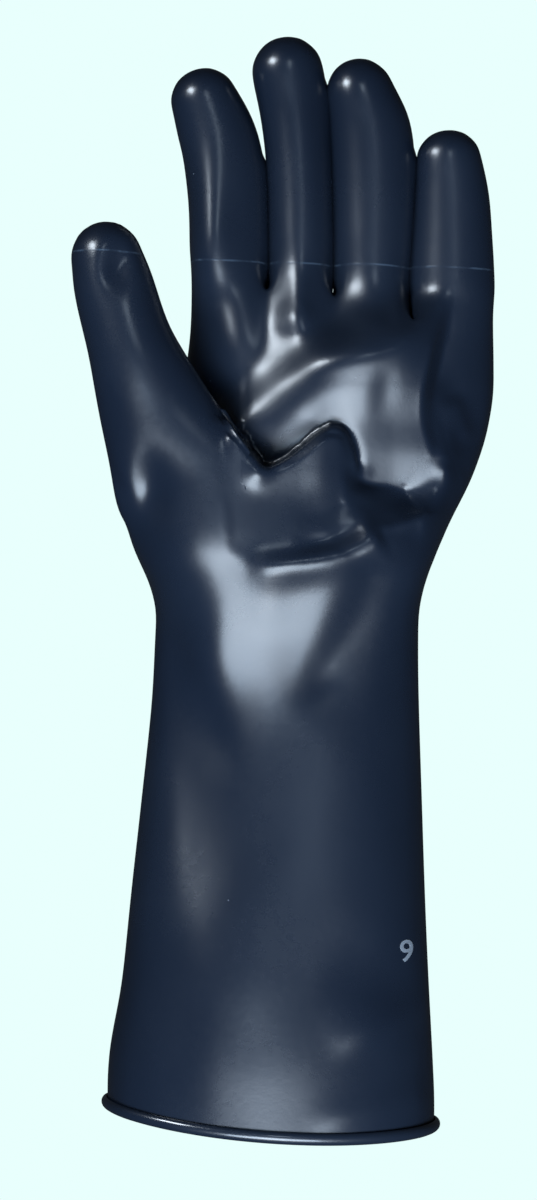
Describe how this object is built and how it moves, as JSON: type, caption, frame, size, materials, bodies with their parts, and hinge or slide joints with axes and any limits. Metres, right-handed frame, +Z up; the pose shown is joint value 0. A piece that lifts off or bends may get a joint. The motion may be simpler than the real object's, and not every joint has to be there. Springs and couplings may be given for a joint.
{
  "type": "long-cuff chemical-resistant rubber glove for the left hand",
  "caption": "Hollow left-hand dipped rubber glove with long cuff and rolled bead, creased palm, lying on its back.",
  "frame": {"origin": "on the surface that the glove lies on, under the middle of its bounding box", "axes": "+X across the palm towards the little finger, +Y along the glove from the cuff to the fingertips, +Z up out of the palm"},
  "size_m": [0.1334, 0.3478, 0.0744],
  "materials": {
    "skin_rubber": "satin-gloss dipped black rubber with a blue cast and fine grain",
    "bead_rubber": "glossy black rubber"
  },
  "bodies": {
    "root": {"glove_skin": "skin_rubber", "cuff_bead": "bead_rubber"}
  },
  "joints": []
}
